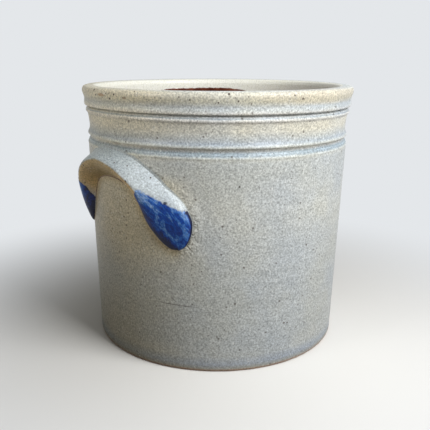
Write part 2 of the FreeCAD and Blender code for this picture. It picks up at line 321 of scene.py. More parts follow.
def body_finish():
    """Grey stoneware thrown on the wheel and salt glazed: bands of tan, grey and blue where the mouldings thin
    or hold the glaze, with painted highlights and painted shade on them, and warmer round and under the lugs,
    which keep the salt off. The side to the camera's left is warmed by a painted warm bounce light. Beside the
    lugs a wet finger left small ripples, and the mouth's inside is smooth and cream, made paler as painted
    light falling into the mouth."""
    material, tree = new_material("salt_glazed_stoneware")
    place = add(tree, "TexCoord").outputs["Object"]
    axes = add(tree, "SeparateXYZ", {}, {"Vector": place})

    # the tone at each height, a little uneven, with streaks round the pot from the turning
    unevenness = add(tree, "TexNoise", {}, {"Vector": place, "Scale": 1 / (5 * MM), "Detail": 4.0})
    shift = add(tree, "MapRange", {}, {"Value": unevenness.outputs["Fac"], "To Min": -0.45 * MM,
                                       "To Max": 0.45 * MM})
    level = add(tree, "Math", {"operation": "ADD"}, {0: axes.outputs["Z"], 1: shift.outputs[0]})
    share = add(tree, "Math", {"operation": "DIVIDE"}, {0: level.outputs[0], 1: HEIGHT * MM})
    bands = set_ramp(add(tree, "ValToRGB", {}, {"Fac": share.outputs[0]}),
                     [(z / HEIGHT, code) for z, code in HEIGHT_TINTS])
    turning = add(tree, "VectorMath", MULTIPLY, {0: place, 1: (0.06, 0.06, 1.0)})
    rings = add(tree, "TexNoise", {}, {"Vector": turning.outputs[0], "Scale": 1 / (4 * MM), "Detail": 3.0})
    streak = add(tree, "MapRange", {}, {"Value": rings.outputs["Fac"], "From Min": 0.25, "From Max": 0.75,
                                        "To Min": 0.94, "To Max": 1.05})
    clay = add(tree, "VectorMath", {"operation": "SCALE"}, {"Vector": bands.outputs["Color"],
                                                           "Scale": streak.outputs[0]}).outputs["Vector"]

    # warmer under the arches of the lugs, from the floor of the arch to its top
    sideways = add(tree, "Math", {"operation": "ABSOLUTE"}, {0: axes.outputs["Y"]})
    under_arch = add(tree, "MapRange", SMOOTH,
                     {"Value": sideways.outputs[0], "From Min": 64 * MM, "From Max": 40 * MM,
                      "To Max": 0.75})
    low = add(tree, "MapRange", SMOOTH,
              {"Value": axes.outputs["Z"], "From Min": 50 * MM, "From Max": 88 * MM})
    high = add(tree, "MapRange", SMOOTH,
               {"Value": axes.outputs["Z"], "From Min": 132 * MM, "From Max": 122 * MM})
    flush = add(tree, "Math", MULTIPLY, {0: low.outputs[0], 1: high.outputs[0]})
    flush = add(tree, "Math", MULTIPLY, {0: flush.outputs[0], 1: under_arch.outputs[0]})

    # painted warm bounce light on the side to the camera's left, and ringed with tan inside the lugs' inner
    # seams
    warm_side = add(tree, "VectorMath", DOT, {0: place, 1: (-0.9, 0.43, 0.0)})
    painted_warm_light = add(tree, "MapRange", SMOOTH,
                  {"Value": warm_side.outputs["Value"], "From Min": 20 * MM, "From Max": 88 * MM, "To Max": 0.8})
    halo = add(tree, "Attribute", {"attribute_name": "halo"}).outputs["Fac"]
    ringed = add(tree, "Math", MULTIPLY, {0: halo, 1: 0.7})
    for amount, tone in ((flush, "#fff2d8"), (painted_warm_light, "#fff3da"), (ringed, "#e6d3ac")):
        clay = add(tree, "Mix", TINT,
                   {"Factor": amount.outputs[0], "A": clay, "B": srgb(tone)}).outputs["Result"]

    # cream inside the mouth: the glaze's cream, made paler as painted light falling into the mouth
    flat = add(tree, "VectorMath", MULTIPLY, {0: place, 1: (1, 1, 0)})
    radius = add(tree, "VectorMath", {"operation": "LENGTH"}, {0: flat.outputs[0]})
    inner = add(tree, "MapRange", SMOOTH,
                {"Value": radius.outputs["Value"], "From Min": (MOUTH + 4.5) * MM,
                 "From Max": (MOUTH + 1.5) * MM}).outputs[0]
    clay = add(tree, "Mix", BLEND, {"Factor": inner, "A": clay, "B": srgb("#faf9ea")})

    # more iron spots on the lip's face, and few inside the mouth
    clay = marked(tree, place, clay.outputs["Result"], MARKS)
    lip_face = add(tree, "MapRange", SMOOTH,
                   {"Value": axes.outputs["Z"], "From Min": 169 * MM, "From Max": 173 * MM, "To Min": 0.75,
                    "To Max": 1.25})
    spots = add(tree, "Math", {"operation": "MULTIPLY_ADD"}, {0: inner, 1: -0.9, 2: lip_face.outputs[0]})
    colour, roughness, normal = salt_glaze(tree, clay, place, 1.0, spots.outputs[0])
    calm = add(tree, "Math", MULTIPLY, {0: inner, 1: 0.6})
    colour = add(tree, "Mix", BLEND,
                 {"Factor": calm.outputs[0], "A": colour, "B": srgb("#f2f2e7")}).outputs["Result"]

    # ripples beside the lugs' outer seams
    wiped = add(tree, "Attribute", {"attribute_name": "wiped"}).outputs["Fac"]
    smears = add(tree, "TexNoise", {}, {"Vector": place, "Scale": 1 / (3.5 * MM), "Detail": 1.0,
                                        "Distortion": 0.8})
    ridges = add(tree, "Math", MULTIPLY, {0: smears.outputs["Fac"], 1: wiped})
    smeared = add(tree, "Bump", {}, {"Height": ridges.outputs[0], "Distance": 2.0 * MM, "Normal": normal})
    glazed(tree, colour, roughness, smeared.outputs["Normal"], 0.15)
    return material


# Cobalt from a thin wash to a thick pool
COBALT_TONES = [(0.0, "#8ba7d0"), (0.27, "#4072b6"), (0.48, "#0b4499"), (0.74, "#052a74"), (1.0, "#030d33")]


def lug_finish(painted):
    """The lug's clay under the same salt glaze, paler on its outer face, with a painted highlight along its
    crest, and flushed tan below, where the arch kept the salt off. Where it is painted, cobalt was brushed on
    the dry clay before the firing: it pools dark at the edges and the tip, and the bristles leave pale streaks
    along the lug. The dark band along the inner edge is wide because it is also painted shade on that shaded
    side of the leaf."""
    material, tree = new_material("cobalt_under_salt_glaze" if painted else "pulled_lug_stoneware")
    place = add(tree, "TexCoord").outputs["Object"]
    under, along = (add(tree, "Attribute", {"attribute_name": key}).outputs["Fac"]
                    for key in ("under", "along"))
    underside = add(tree, "MapRange", SMOOTH, {"Value": under, "From Min": -0.3, "From Max": 1.3})
    length = add(tree, "Math", {"operation": "ABSOLUTE"}, {0: along})
    sheltered = add(tree, "MapRange", SMOOTH,
                    {"Value": length.outputs[0], "From Min": 42.0, "From Max": 24.0})
    flush = add(tree, "Math", MULTIPLY, {0: underside.outputs[0], 1: sheltered.outputs[0]})
    clay = add(tree, "Mix", BLEND, {"Factor": flush.outputs[0], "A": srgb("#bfc7cb"), "B": srgb("#dfc18a")})
    # a painted highlight along the crest, where the strap's top face turns under
    from_crest = add(tree, "Math", {"operation": "ABSOLUTE"}, {0: under})
    crest = add(tree, "MapRange", SMOOTH,
                {"Value": from_crest.outputs[0], "From Min": 1.0, "From Max": 0.2, "To Max": 0.45})
    clay = add(tree, "Mix", BLEND,
               {"Factor": crest.outputs[0], "A": clay.outputs["Result"], "B": srgb("#dfe4e6")})
    arch = add(tree, "MapRange", SMOOTH, {"Value": length.outputs[0], "From Min": 25.0, "From Max": 4.0})
    clay = add(tree, "Mix", TINT,
               {"Factor": arch.outputs[0], "A": clay.outputs["Result"], "B": srgb("#d4d7d6")})
    colour = clay.outputs["Result"]
    if painted:
        offset, rim, paint = (add(tree, "Attribute", {"attribute_name": key}).outputs["Fac"]
                              for key in ("offset", "rim", "paint"))
        # strokes about five millimetres wide, drawn out along the lug, and the bristles' finer lines
        drawn = add(tree, "Math", MULTIPLY, {0: along, 1: 0.45})
        brush = add(tree, "CombineXYZ", {}, {"X": drawn.outputs[0], "Y": offset, "Z": 14.1})
        strokes = add(tree, "TexNoise", {}, {"Vector": brush.outputs[0], "Scale": 0.19, "Detail": 3.0,
                                             "Roughness": 0.5, "Distortion": 1.1})
        bristles = add(tree, "TexNoise", {}, {"Vector": brush.outputs[0], "Scale": 1.1, "Detail": 3.0})
        # dark where the cobalt pools at the edges; along the inner edge this is also painted shade
        pooled_and_shade = add(tree, "MapRange", SMOOTH,
                     {"Value": rim, "From Min": 5.0, "From Max": 0.4, "To Max": 0.8})
        wash = add(tree, "MapRange", {},
                   {"Value": strokes.outputs["Fac"], "From Min": 0.36, "From Max": 0.58,
                    "To Min": 0.24, "To Max": 0.68})
        fine = add(tree, "MapRange", {}, {"Value": bristles.outputs["Fac"], "From Min": 0.3, "From Max": 0.7,
                                          "To Min": -0.16, "To Max": 0.16})
        # thin pale gaps between the strokes, and more cobalt towards the tip
        middle = add(tree, "Math", {"operation": "SUBTRACT"}, {0: strokes.outputs["Fac"], 1: 0.47})
        off_middle = add(tree, "Math", {"operation": "ABSOLUTE"}, {0: middle.outputs[0]})
        gap = add(tree, "MapRange", SMOOTH,
                  {"Value": off_middle.outputs[0], "From Max": 0.03, "To Min": -0.14, "To Max": 0.0})
        toward_tip = add(tree, "MapRange", {}, {"Value": length.outputs[0], "From Min": 38.0,
                                                "From Max": 70.0, "To Min": -0.19, "To Max": 0.1})
        thickness = wash.outputs[0]
        for part in (pooled_and_shade, fine, gap, toward_tip):
            thickness = add(tree, "Math", {"operation": "ADD"},
                            {0: thickness, 1: part.outputs[0]}).outputs[0]
        cobalt = set_ramp(add(tree, "ValToRGB", {}, {"Fac": thickness}), COBALT_TONES)
        # the brushed edge is ragged by a millimetre
        edge = add(tree, "TexNoise", {}, {"Vector": place, "Scale": 1 / (2.2 * MM), "Detail": 3.0})
        ragged = add(tree, "MapRange", {}, {"Value": edge.outputs["Fac"], "To Min": -1.2, "To Max": 1.2})
        depth = add(tree, "Math", {"operation": "ADD"}, {0: paint, 1: ragged.outputs[0]})
        covered = add(tree, "MapRange", SMOOTH,
                      {"Value": depth.outputs[0], "From Min": -0.3, "From Max": 0.7})
        colour = add(tree, "Mix", BLEND,
                     {"Factor": covered.outputs[0], "A": colour,
                      "B": cobalt.outputs["Color"]}).outputs["Result"]
        colour = marked(tree, place, colour, DROPS)
        colour, roughness, normal = salt_glaze(tree, colour, place, 0.85, 0.35, 0.0)
    else:
        colour, roughness, normal = salt_glaze(tree, colour, place, 0.95, 1.0)
    glazed(tree, colour, roughness, normal, 0.05)
    return material


def lute_finish():
    """Clay slip wiped along the seam with a wet finger, grey outside, darker than the wall as painted shade in
    the seam, and dark brown under the arch.
    """
    material, tree = new_material("wiped_luting_slip")
    place = add(tree, "TexCoord").outputs["Object"]
    side, along = (add(tree, "Attribute", {"attribute_name": key}).outputs["Fac"]
                   for key in ("side", "along"))
    length = add(tree, "Math", {"operation": "ABSOLUTE"}, {0: along})
    arch = add(tree, "MapRange", SMOOTH, {"Value": length.outputs[0], "From Min": 46.0, "From Max": 28.0})
    under = add(tree, "MapRange", {}, {"Value": side, "From Min": 0.2, "From Max": -0.2})
    inner = add(tree, "Math", MULTIPLY, {0: arch.outputs[0], 1: under.outputs[0]})
    # darker grey than the wall as painted shade along the seam, and dark brown in the arch
    clay = add(tree, "Mix", BLEND, {"Factor": inner.outputs[0], "A": srgb("#a4aaa9"), "B": srgb("#6b4a26")})
    colour, roughness, normal = salt_glaze(tree, clay.outputs["Result"], place, 0.8, 0.5)
    glazed(tree, colour, roughness, normal, 0.3)
    return material


def slip_finish():
    """Brown clay slip swilled round the inside and poured out: a smooth iron-brown glaze, redder and thinner
    at its edge."""
    material, tree = new_material("brown_slip_glaze")
    place = add(tree, "TexCoord").outputs["Object"]
    axes = add(tree, "SeparateXYZ", {}, {"Vector": place})
    runs = add(tree, "VectorMath", MULTIPLY, {0: place, 1: (1.0, 1.0, 0.15)})
    drips = add(tree, "TexNoise", {}, {"Vector": runs.outputs[0], "Scale": 1 / (7 * MM), "Detail": 4.0})
    tone = set_ramp(add(tree, "ValToRGB", {}, {"Fac": drips.outputs["Fac"]}),
                    [(0.3, "#351a10"), (0.5, "#552c1c"), (0.7, "#784630")])
    edge = add(tree, "MapRange", SMOOTH,
               {"Value": axes.outputs["Z"], "From Min": 163.5 * MM, "From Max": 169.5 * MM, "To Max": 0.4})
    thin = add(tree, "Mix", BLEND,
               {"Factor": edge.outputs[0], "A": tone.outputs["Color"], "B": srgb("#622c1a")})
    ripple = add(tree, "TexNoise", {}, {"Vector": place, "Scale": 1 / (3 * MM), "Detail": 2.0})
    bump = add(tree, "Bump", {}, {"Height": ripple.outputs["Fac"], "Strength": 0.3, "Distance": 0.3 * MM})
    gloss = add(tree, "MapRange", {}, {"Value": ripple.outputs["Fac"], "To Min": 0.16, "To Max": 0.3})
    glazed(tree, thin.outputs["Result"], gloss.outputs[0], bump.outputs["Normal"], 0.5, 0.5)
    return material


# The pot

# Outside from the mouth over the rolled lip and down the mouldings: in from the lip's widest radius, and
# down from its top
OUTLINE = [
    # the rolled lip
    (10.7, 3.2), (10.1, 1.3), (8.8, 0.4), (6.6, 0.05), (4.4, 0.1), (2.7, 0.25), (1.5, 0.6), (0.65, 1.3),
    (0.2, 2.2), (0.03, 3.3), (0.1, 4.1), (0.3, 5.0), (0.62, 5.9), (0.9, 6.8), (1.15, 7.9), (1.32, 9.0),
    (1.3, 10.0), (1.2, 10.9), (1.15, 11.9), (1.2, 12.9), (1.5, 13.6), (2.4, 14.1),
    # the groove under it, and the bead
    (3.5, 14.4), (3.9, 14.65), (3.6, 14.95), (3.0, 15.3), (2.6, 15.8), (2.3, 16.4), (2.12, 17.0),
    (2.15, 17.6), (2.45, 18.2), (2.95, 18.8),
    # the hollow band of the neck
    (3.25, 19.5), (3.45, 20.5), (3.7, 21.9), (3.95, 23.5), (4.15, 25.2), (4.25, 26.8), (4.25, 28.4),
    (4.12, 29.8),
    # the upper ridge, the lower groove and the lower ridge
    (3.8, 30.9), (3.35, 31.8), (3.05, 32.6), (3.05, 33.2), (3.4, 33.7), (4.0, 34.2), (4.45, 34.8),
    (4.65, 35.5), (4.5, 36.2), (4.05, 36.7), (3.7, 37.2), (3.6, 37.8), (3.42, 38.3), (3.05, 38.8),
    (2.9, 39.3), (2.95, 39.8), (3.15, 40.4), (3.2, 41.7), (3.2, 44.8),
]
# The rounding of the foot: in from its radius, and up from the ground
FOOT_EDGE = [(0.0, 1.5), (0.2, 0.8), (0.65, 0.3), (1.3, 0.06), (2.2, 0.0)]
TURNS = 384                          # points round the pot
OUTLINE_STEP = 0.5                   # and rows apart over the mouldings
WALL_ROWS = 44
WALL_BOTTOM = 2.2                    # the straight wall ends here, above the foot's rounding
INNER_STEP = 6.0
CORNER_STEPS = 8
NECK_ROWS = (0.0, 0.3, 0.6, 0.85)    # shares of the way down from the mouth
FLOOR_ROWS = (0.75, 0.5, 0.3, 0.14, 0.05)      # shares of the floor's radius
OUT_OF_ROUND = 0.10
FINGER_MARKS = 0.05
HIGH_SIDE = math.radians(-42.6)      # the rim sags a little on the side across from this one,
HALF_SAG = 0.43
SAG_FROM, SAG_OVER = 158.0, 20.0     # from this height on
LUG_HEIGHTS = (70.0, 152.0)          # the lugs and what surrounds them lie between these heights,
LUG_RADIUS = 82.0                    # and further out than this,
LUG_SIDE = 40.0                      # and to the left or right of this
WIPED_REACH = 9.0                    # ripples outside the lugs' seams
HALO_REACH = 7.0                     # tan clay inside them
SLIP_HIGH_SIDE = math.radians(58.2)  # the slip's edge stands higher on this side,
SLIP_RISE = 3.8
SLIP_RISE_REACH = 0.46               # for this angle to its left and right,
SLIP_FALL = 1.2                      # and lower elsewhere
SLIP_BURIED = 0.3                    # the back of the coat runs this far into the clay


def inner_radius(z):
    """Inside of the straight wall."""
    top = SHOULDER - WALL
    bottom = FOOT - FOOT_WALL
    return bottom + (top - bottom) * (z - FLOOR) / (SHOULDER_HEIGHT - FLOOR)


def wall_radius(z):
    """Outside of the straight wall."""
    return FOOT + (SHOULDER - FOOT) * z / SHOULDER_HEIGHT


def inner_profile(inset, top):
    """Inside from the height top down to the floor and in over it, but for its middle, set in by a coat of
    that thickness."""
    places = []
    neck = inner_radius(NECK_HEIGHT)
    for share in NECK_ROWS:
        z = mix(top, NECK_HEIGHT, share)
        slope = (z - NECK_HEIGHT) / (HEIGHT - MOUTH_DROP - NECK_HEIGHT)
        places.append((mix(neck, MOUTH, slope) - inset, z))
    places.append((neck - inset - 0.15, NECK_HEIGHT))
    z = NECK_HEIGHT - INNER_STEP
    while z > FLOOR + INNER_CORNER + 2:
        places.append((inner_radius(z) - inset, z))
        z -= INNER_STEP
    corner = INNER_CORNER - inset
    side = inner_radius(FLOOR) - inset
    for k in range(CORNER_STEPS + 1):
        turn = math.radians(90 * k / CORNER_STEPS)
        lean = 0.5 * (1 - k / CORNER_STEPS)
        places.append((side - corner + corner * math.cos(turn) + lean,
                       FLOOR + inset + corner * (1 - math.sin(turn))))
    for share in FLOOR_ROWS:
        places.append(((side - corner) * share, FLOOR + inset))
    return places


def thrown(radius, angle, z):
    """A point of the pot with the unevenness of throwing: a little out of round and out of level."""
    oval = OUT_OF_ROUND * math.cos(2 * (angle - HIGH_SIDE)) - OUT_OF_ROUND
    finger = FINGER_MARKS * wander(z / 3.1, 3 + math.cos(angle) * 0.4, math.sin(angle) * 0.4)
    local = FINGER_MARKS * wander(math.cos(angle) * 7, math.sin(angle) * 7, z / 6)
    out = radius + (oval + finger + local) * min(1.0, radius / 60)
    sag = HALF_SAG * (1 - math.cos(angle - HIGH_SIDE)) * ease((z - SAG_FROM) / SAG_OVER)
    return (out * math.cos(angle), out * math.sin(angle), z - sag)


def near_seam(points, side, reach):
    """For each point of the pot, 1 on the outer (1) or inner (-1) seams of the lugs, and 0 from reach on."""
    line = seam_line(side)
    low, high = LUG_HEIGHTS
    shares = []
    for x, y, z in points:
        beside_lug = low < z < high and math.hypot(x, y) > LUG_RADIUS and abs(x) > LUG_SIDE
        gap = line.find((x, y, z))[2] if beside_lug else reach
        shares.append(ease(1 - gap / reach))
    return shares


def crock_body(material):
    """The thrown pot, turned from one profile: up the inside, over the lip and down to the foot."""
    outer = smooth_line([(RIM - recess, HEIGHT - drop) for recess, drop in OUTLINE], OUTLINE_STEP)
    profile = inner_profile(0.0, HEIGHT - OUTLINE[0][1] - OUTLINE_STEP)[::-1]
    profile += [(p.x, p.y) for p in outer]
    for k in range(1, WALL_ROWS + 1):
        z = mix(SHOULDER_HEIGHT, WALL_BOTTOM, k / WALL_ROWS)
        profile.append((wall_radius(z), z))
    profile += [(FOOT - recess, z) for recess, z in FOOT_EDGE]
    profile += [(FOOT * share, 0.0) for share in (0.85, 0.6, 0.35, 0.12)]
    points = [thrown(radius, 2 * math.pi * k / TURNS, z) for radius, z in profile for k in range(TURNS)]
    faces = grid_faces(len(profile), TURNS, closed_columns=True)
    last = len(points) - TURNS
    middle_in, middle_out = len(points), len(points) + 1
    points += [(0.0, 0.0, FLOOR), (0.0, 0.0, 0.0)]
    for k in range(TURNS):
        faces.append((middle_in, (k + 1) % TURNS, k))
        faces.append((middle_out, last + k, last + (k + 1) % TURNS))
    values = {"wiped": near_seam(points, 1, WIPED_REACH), "halo": near_seam(points, -1, HALO_REACH)}
    make_piece("crock_body_thrown", points, [f[::-1] for f in faces], "crock_body",
               material, values)


def slip_wave(angle):
    """How far the slip's edge stands above or below its usual height."""
    x, y = math.cos(angle), math.sin(angle)
    wave = (0.7 * wander(x * 2.6, y * 2.6, 4.0) + 0.4 * wander(x * 24, y * 24, 9.0)
            + wander(x * 30, y * 30, 5.0))
    away = abs((angle - SLIP_HIGH_SIDE + math.pi) % (2 * math.pi) - math.pi)
    return wave + SLIP_RISE * math.exp(-(away / SLIP_RISE_REACH) ** 6) - SLIP_FALL


def lining(material):
    """The brown slip: a thin coat with a wavy edge where it was swilled round. A spot of clay 3.2 mm in
    radius stays bare in the middle of the floor."""
    coat = inner_profile(SLIP_COAT, HEIGHT - SLIP_DROP)
    radius, z = coat[0]
    edge = [(radius + 0.5, z + 0.9), (radius + 0.22, z + 0.6)]
    profile = edge + coat + inner_profile(-SLIP_BURIED, HEIGHT - SLIP_DROP)[::-1]
    waves = [slip_wave(2 * math.pi * k / TURNS) for k in range(TURNS)]
    points = []
    for radius, z in profile:
        near_edge = ease((z - 120) / 45)          # the wave dies out down the wall
        for k, wave in enumerate(waves):
            points.append(thrown(radius, 2 * math.pi * k / TURNS, z + near_edge * wave))
    faces = grid_faces(len(profile), TURNS, closed_rows=True, closed_columns=True)
    make_piece("slip_lining_coat", points, faces, "interior_slip_lining", material)


# The lugs: a pulled strap bent to an arch along the wall and pressed on. Where two values are kept, -1 is
# the inner half of the strap and 1 the outer, or -1 the back limb of the arch and 1 the front.

LUG_TOP = 132.7              # the strap's middle line at the top of the arch
HALF_SPAN = 56.6             # along the wall to the end
DROP = 54.8                  # from the top down to the end
LEVEL_REACH = 34.0           # how far the middle line is drawn level from the top
UPRIGHT_REACH = 18.0         # and upright from the end
LIMB_LENGTH = 78.0           # from the top of the arch to the end
HALF_WIDTH = {-1: 8.8, 1: 9.2}
LEAF_HALF_WIDTH = {-1: 16.1, 1: 11.9}
LEAF_SPREAD = {-1: (0.20, 0.36), 1: (0.42, 0.18)}     # where the strap starts to widen, and over what share
LEAF_TAPER = {-1: 0.60, 1: 0.70}
LEAF_END = 0.925
STRAP_END = LEAF_END * 0.998
TIP_SHIFT = 3.6              # the tip points down and back under the arch
STRAP_RISE = 11.0
LIMB_RISE = {-1: 0.9, 1: -0.7}        # the back limb bows out further than the front one
END_RISE = 0.9
BURIED = 2.0                 # the strap's back runs this far into the wall
LUTE_END = 0.87
LUTE_HOLD = {-1: 0.985, 1: 0.975}     # how far up the strap the luting slip reaches
LUTE_REACH = {-1: 0.9, 1: 1.4}        # and how far out over the wall
BRUSHED_EDGE = (139.5, 0.56)          # the cobalt's edge: its height over the arch's middle, and its fall
BRUSH_START = {-1: 0.385, 1: 0.345}   # share of the limb where the brush was set down
COBALT_COAT = 0.16
COBALT_BACK = 0.35           # the skin's back lies this far under the strap's face
LUTE_BACK = 1.2              # and the fillet's this far inside the wall
# The cobalt pools wide along the inner edge, where the dark band is also painted shade on the leaf's shaded
# side, and narrow along the outer edge and the tip: the distance to an edge is multiplied by these.
POOL_AND_SHADE_SCALE = {-1: 0.5, 1: 5.0}
TIP_POOL_SCALE = 4.0
ACROSS = [math.sin(math.pi / 2 * k / 26) for k in range(-26, 27)]    # closer together at the seams
HALF_ROWS = 110
COBALT_ROWS = 60
LUTE_ROWS = 150
LUTE_STEPS = 8


def limb(share):
    """Middle line of the strap on the unrolled wall: along, up, and its direction."""
    ends = [(0, LUG_TOP), (LEVEL_REACH, LUG_TOP), (HALF_SPAN, LUG_TOP - DROP + UPRIGHT_REACH),
            (HALF_SPAN, LUG_TOP - DROP)]
    rest = 1 - share
    weights = (rest ** 3, 3 * rest * rest * share, 3 * rest * share * share, share ** 3)
    slopes = (-3 * rest * rest, 3 * rest * (rest - 2 * share), 3 * share * (2 * rest - share),
              3 * share * share)
    along, up = (sum(w * e[i] for w, e in zip(weights, ends)) for i in (0, 1))
    run, climb = (sum(w * e[i] for w, e in zip(slopes, ends)) for i in (0, 1))
    length = math.hypot(run, climb)
    return along, up, run / length, climb / length


def half_width(share, half):
    """Width of the strap inside (-1) or outside (1) of its middle line: it spreads to a leaf-shaped end."""
    start, length = LEAF_SPREAD[half]
    width = mix(HALF_WIDTH[half], LEAF_HALF_WIDTH[half], ease((share - start) / length))
    taper = min(max((share - LEAF_TAPER[half]) / (LEAF_END - LEAF_TAPER[half]), 0.0), 1.0)
    return width * max(1 - taper ** 1.5, 0.0) ** 0.75


def strap_offset(share, u):
    """Distance from the limb's middle line, u from -1 at the inner seam to 1 at the outer one."""
    return u * half_width(share, 1 if u > 0 else -1) - TIP_SHIFT * ease((share - 0.6) / 0.32)


def crest_place(share):
    """Where across the strap its crest runs: outside the middle over the arch, inside it on the leaf."""
    return mix(0.47, -0.35, ease((share + 0.1) / 0.6))


def strap_height(position, u):
    """How far the strap stands off the wall. Over the arch a crest parts its top face from its underside,
    and the end is a flat leaf with rounded edges."""
    share = abs(position)
    crest = crest_place(share)
    top = STRAP_RISE + LIMB_RISE[1 if position > 0 else -1] * ease(share / 0.15)
    rise = mix(top, END_RISE, min(max((share - 0.2) / 0.7, 0.0), 1.0) ** 1.45)
    if u > crest:
        fall = ((u - crest) / (1 - crest)) ** 1.35
    else:
        fall = ((crest - u) / (1 + crest)) ** 1.8
    arch = 1 - fall
    leaf = (1 - abs(u) ** 3.4) ** 0.5
    flat = ease((share - 0.33) / 0.35)
    sunk = (END_RISE + 0.7) * ease((share - LEAF_END + 0.05) / 0.05)
    return rise * mix(arch, leaf, flat) - sunk * (1 + u * u)


def on_wall(lug_angle, position, offset, height):
    """A point off the wall: position from -1 to 1 along the arch, offset across it, height outwards."""
    share = abs(position)
    side = 1 if position >= 0 else -1
    along, up, run, climb = limb(share)
    angle = lug_angle + side * along / SHOULDER
    outward = Vector((math.cos(angle), math.sin(angle), 0))
    sideways = Vector((-math.sin(angle), math.cos(angle), 0))
    across = sideways * (-climb * side) + Vector((0, 0, run))
    radius = wall_radius(up + offset * run)
    drop = math.sqrt(max(radius * radius - (offset * climb) ** 2, 0.0)) - wall_radius(up)
    return outward * (wall_radius(up) + drop + height) + Vector((0, 0, up)) + across * offset


def strap_point(lug_angle, position, u, lift=0.0):
    """A point of the strap's face, with the unevenness that the potter's fingers leave."""
    share = abs(position)
    uneven = (0.16 * wander(position * 7, u * 1.5, 2 + lug_angle)
              + 0.10 * wander(position * 2, u * 6, 5 + lug_angle))
    height = strap_height(position, u) + (uneven - 0.12) * (1 - u * u) + lift
    return on_wall(lug_angle, position, strap_offset(share, u), height)


def seam_line(side):
    """The outer (1) or inner (-1) seams of both lugs, to measure a distance from."""
    places = [on_wall(lug_angle, k / 60, strap_offset(abs(k / 60), side), 0.0)
              for lug_angle in (0.0, math.pi) for k in range(-54, 55)]
    line = kdtree.KDTree(len(places))
    for k, place in enumerate(places):
        line.insert(place, k)
    line.balance()
    return line


def paint_depth(position, u, point):
    """How far a point lies past the brushed edge of the cobalt, in millimetres."""
    share = abs(position)
    height, fall = BRUSHED_EDGE
    below = (height - fall * abs(point.y) - point.z) / math.hypot(1, fall)
    start = BRUSH_START[-1 if point.y > 0 else 1] + 0.012 * max(0.0, -strap_offset(share, u) - 9)
    return min(below, (share - start) * LIMB_LENGTH)


def paint_start(lug_angle, end, u):
    """Where along the limb the cobalt's skin starts, a little above the brushed edge."""
    first, last = 0.15, 1.0
    for _ in range(20):
        middle = (first + last) / 2
        if paint_depth(end * middle, u, strap_point(lug_angle, end * middle, u)) < -2.5:
            first = middle
        else:
            last = middle
    return first


def note(values, position, u, point):
    """Keeps what the finishes need to know of a point of the lug, in millimetres."""
    share = abs(position)
    half = 1 if u > 0 else -1
    offset = strap_offset(share, u)
    to_seam = (1 - abs(u)) * half_width(share, half) * POOL_AND_SHADE_SCALE[half]
    to_tip = (LEAF_END - share) * LIMB_LENGTH * TIP_POOL_SCALE
    numbers = {"under": strap_offset(share, crest_place(share)) - offset, "along": position * LIMB_LENGTH,
               "offset": offset, "paint": paint_depth(position, u, point), "rim": min(to_seam, to_tip)}
    for key, number in numbers.items():
        values.setdefault(key, []).append(number)


def strap(side, lug_angle, material):
    """The pulled strap from end to end, closed at the back inside the wall."""
    points, values = [], {}
    stations = [math.copysign(abs(k / HALF_ROWS) ** 0.9, k) * STRAP_END
                for k in range(-HALF_ROWS, HALF_ROWS + 1)]
    for position in stations:
        row = [(u, strap_point(lug_angle, position, u)) for u in ACROSS]
        row += [(u, on_wall(lug_angle, position, strap_offset(abs(position), u), -BURIED))
                for u in (1, 0.5, -0.5, -1)]
        for u, point in row:
            points.append(point)
            note(values, position, u, point)
    faces = tube_faces(len(stations), len(ACROSS) + 4)
    make_piece(side + "_pulled_lug", points, faces, side + "_handle", material, values)


def brushed_cobalt(side, lug_angle, material):
    """The thin skin of cobalt on both ends of the lug."""
    points, faces, values = [], [], {}
    for end in (-1, 1):
        start = len(points)
        starts = {u: paint_start(lug_angle, end, u) for u in ACROSS}
        for row in range(COBALT_ROWS + 1):
            # it rises out of the strap over two rows
            skin = mix(-0.05, COBALT_COAT, min(row, 2) / 2)
            for line, lift in ((ACROSS, skin), (ACROSS[::-1], -COBALT_BACK)):
                for u in line:
                    position = end * mix(starts[u], STRAP_END, row / COBALT_ROWS)
                    points.append(strap_point(lug_angle, position, u, lift))
                    note(values, position, u, points[-1])
        patch = tube_faces(COBALT_ROWS + 1, 2 * len(ACROSS), start)
        faces += patch if end == 1 else [f[::-1] for f in patch]
    make_piece(side + "_lug_cobalt", points, faces, side + "_handle_cobalt", material,
               values)


def luting(side, lug_angle, material):
    """The slip pressed out along both seams and wiped to a small fillet, thinner towards the ends."""
    points, faces, values = [], [], {"side": [], "along": []}
    columns = LUTE_STEPS + 3
    for half in (-1, 1):
        start = len(points)
        for row in range(LUTE_ROWS + 1):
            position = mix(-LUTE_END, LUTE_END, row / LUTE_ROWS)
            share = abs(position)
            fade = 1 - ease((share - 0.35) / 0.35)
            hold = mix(1.0, LUTE_HOLD[half], fade)
            seam = strap_offset(share, half)
            top = strap_offset(share, half * hold)
            reach = mix(0.3, LUTE_REACH[half], fade) * (1 + 0.25 * wander(position * 6, half, 7 + lug_angle))
            high = strap_height(position, half * hold) - 0.15
            # a hollow curve from the strap down to the wall, and the back inside both
            for k in range(LUTE_STEPS + 1):
                t = k / LUTE_STEPS
                on_strap, between, out = (1 - t) ** 2, 2 * t * (1 - t), t * t
                place = on_strap * top + between * (seam + 0.1 * half) + out * (seam + reach * half)
                height = on_strap * high + between * 0.1 - out * 0.12
                points.append(on_wall(lug_angle, position, place, height))
            for place in (seam + reach * 0.8 * half, mix(seam, top, 1.1)):
                points.append(on_wall(lug_angle, position, place, -LUTE_BACK))
            values["side"] += [half] * columns
            values["along"] += [position * LIMB_LENGTH] * columns
        strip = tube_faces(LUTE_ROWS + 1, columns, start)
        faces += strip if half == 1 else [f[::-1] for f in strip]
    make_piece(side + "_lug_luting", points, faces, side + "_handle_lute", material, values)


